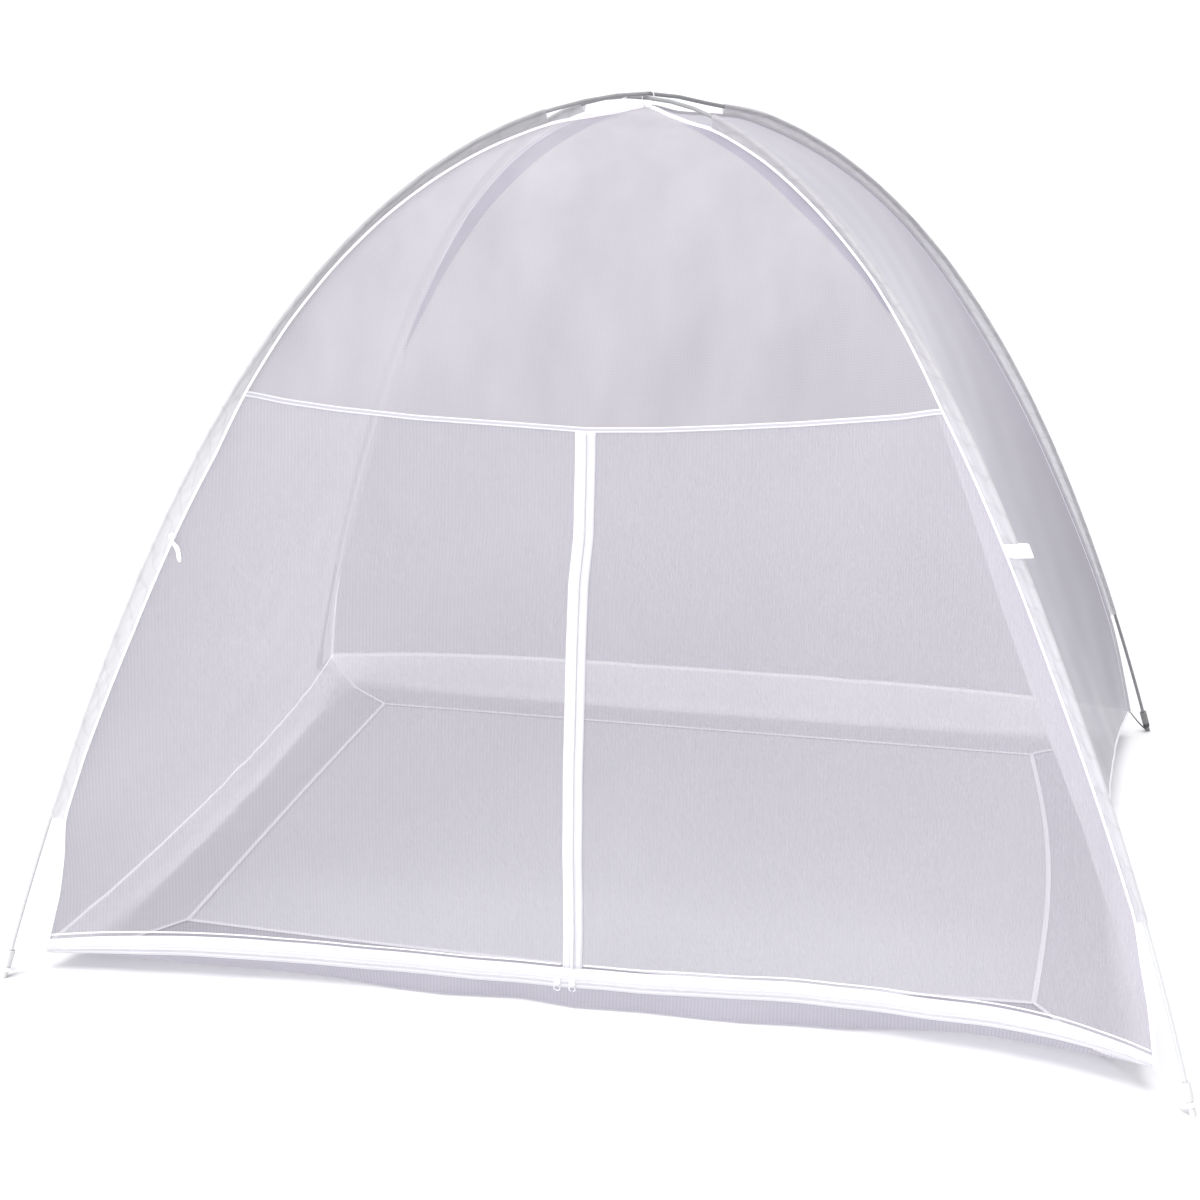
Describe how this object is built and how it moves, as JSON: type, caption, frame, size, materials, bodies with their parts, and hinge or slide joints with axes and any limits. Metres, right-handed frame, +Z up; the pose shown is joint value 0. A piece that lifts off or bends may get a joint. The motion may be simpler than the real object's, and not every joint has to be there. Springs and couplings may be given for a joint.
{
  "type": "free-standing mosquito net canopy with its crossed poles",
  "caption": "Free-standing dome mosquito net on crossed sprung poles, with a zipped front, folded pole sleeves and a netting flange turned in on the floor.",
  "frame": {"origin": "middle of the footprint, at the level of the feet's undersides", "axes": "+Z up, +X along the length to the right as seen from the zipped front, +Y from the zipped front to the back"},
  "size_m": [2.0108, 1.5404, 1.4685],
  "materials": {
    "pole": "satin glass fibre rod",
    "foot": "moulded, satin",
    "strap": "woven tape",
    "sleeve": "plain woven polyester",
    "net": "fine knitted netting",
    "flange": "fine knitted netting",
    "top_panel": "dense sheer polyester",
    "binding": "folded woven binding",
    "tape": "woven ribbon",
    "zip_tape": "woven zip tape",
    "zip_coil": "nylon coil",
    "slider": "moulded, satin"
  },
  "bodies": {
    "root": {"binding_back": "binding", "binding_left": "binding", "binding_right": "binding", "corner_strap_back_left": "strap", "corner_strap_back_right": "strap", "corner_strap_front_left": "strap", "corner_strap_front_right": "strap", "crossing_tie": "tape", "door_left": "net", "door_right": "net", "door_tie_knot": "tape", "door_tie_tab": "tape", "door_tie_tail": "tape", "flange_back": "flange", "flange_front": "flange", "flange_left": "flange", "flange_right": "flange", "foot_back_left": "foot", "foot_back_right": "foot", "foot_front_left": "foot", "foot_front_right": "foot", "front_tape": "tape", "front_top_panel": "top_panel", "pole_front_left_to_back_right": "pole", "pole_front_right_to_back_left": "pole", "ring_pull_left": "slider", "ring_pull_right": "slider", "sleeve_back_left": "sleeve", "sleeve_back_right": "sleeve", "sleeve_front_left": "sleeve", "sleeve_front_right": "sleeve", "slider_left": "slider", "slider_right": "slider", "wall_back": "net", "wall_left": "net", "wall_right": "net", "zip_coil_bottom": "zip_coil", "zip_coil_vertical": "zip_coil", "zip_tape_bottom": "zip_tape", "zip_tape_vertical": "zip_tape"}
  },
  "joints": []
}
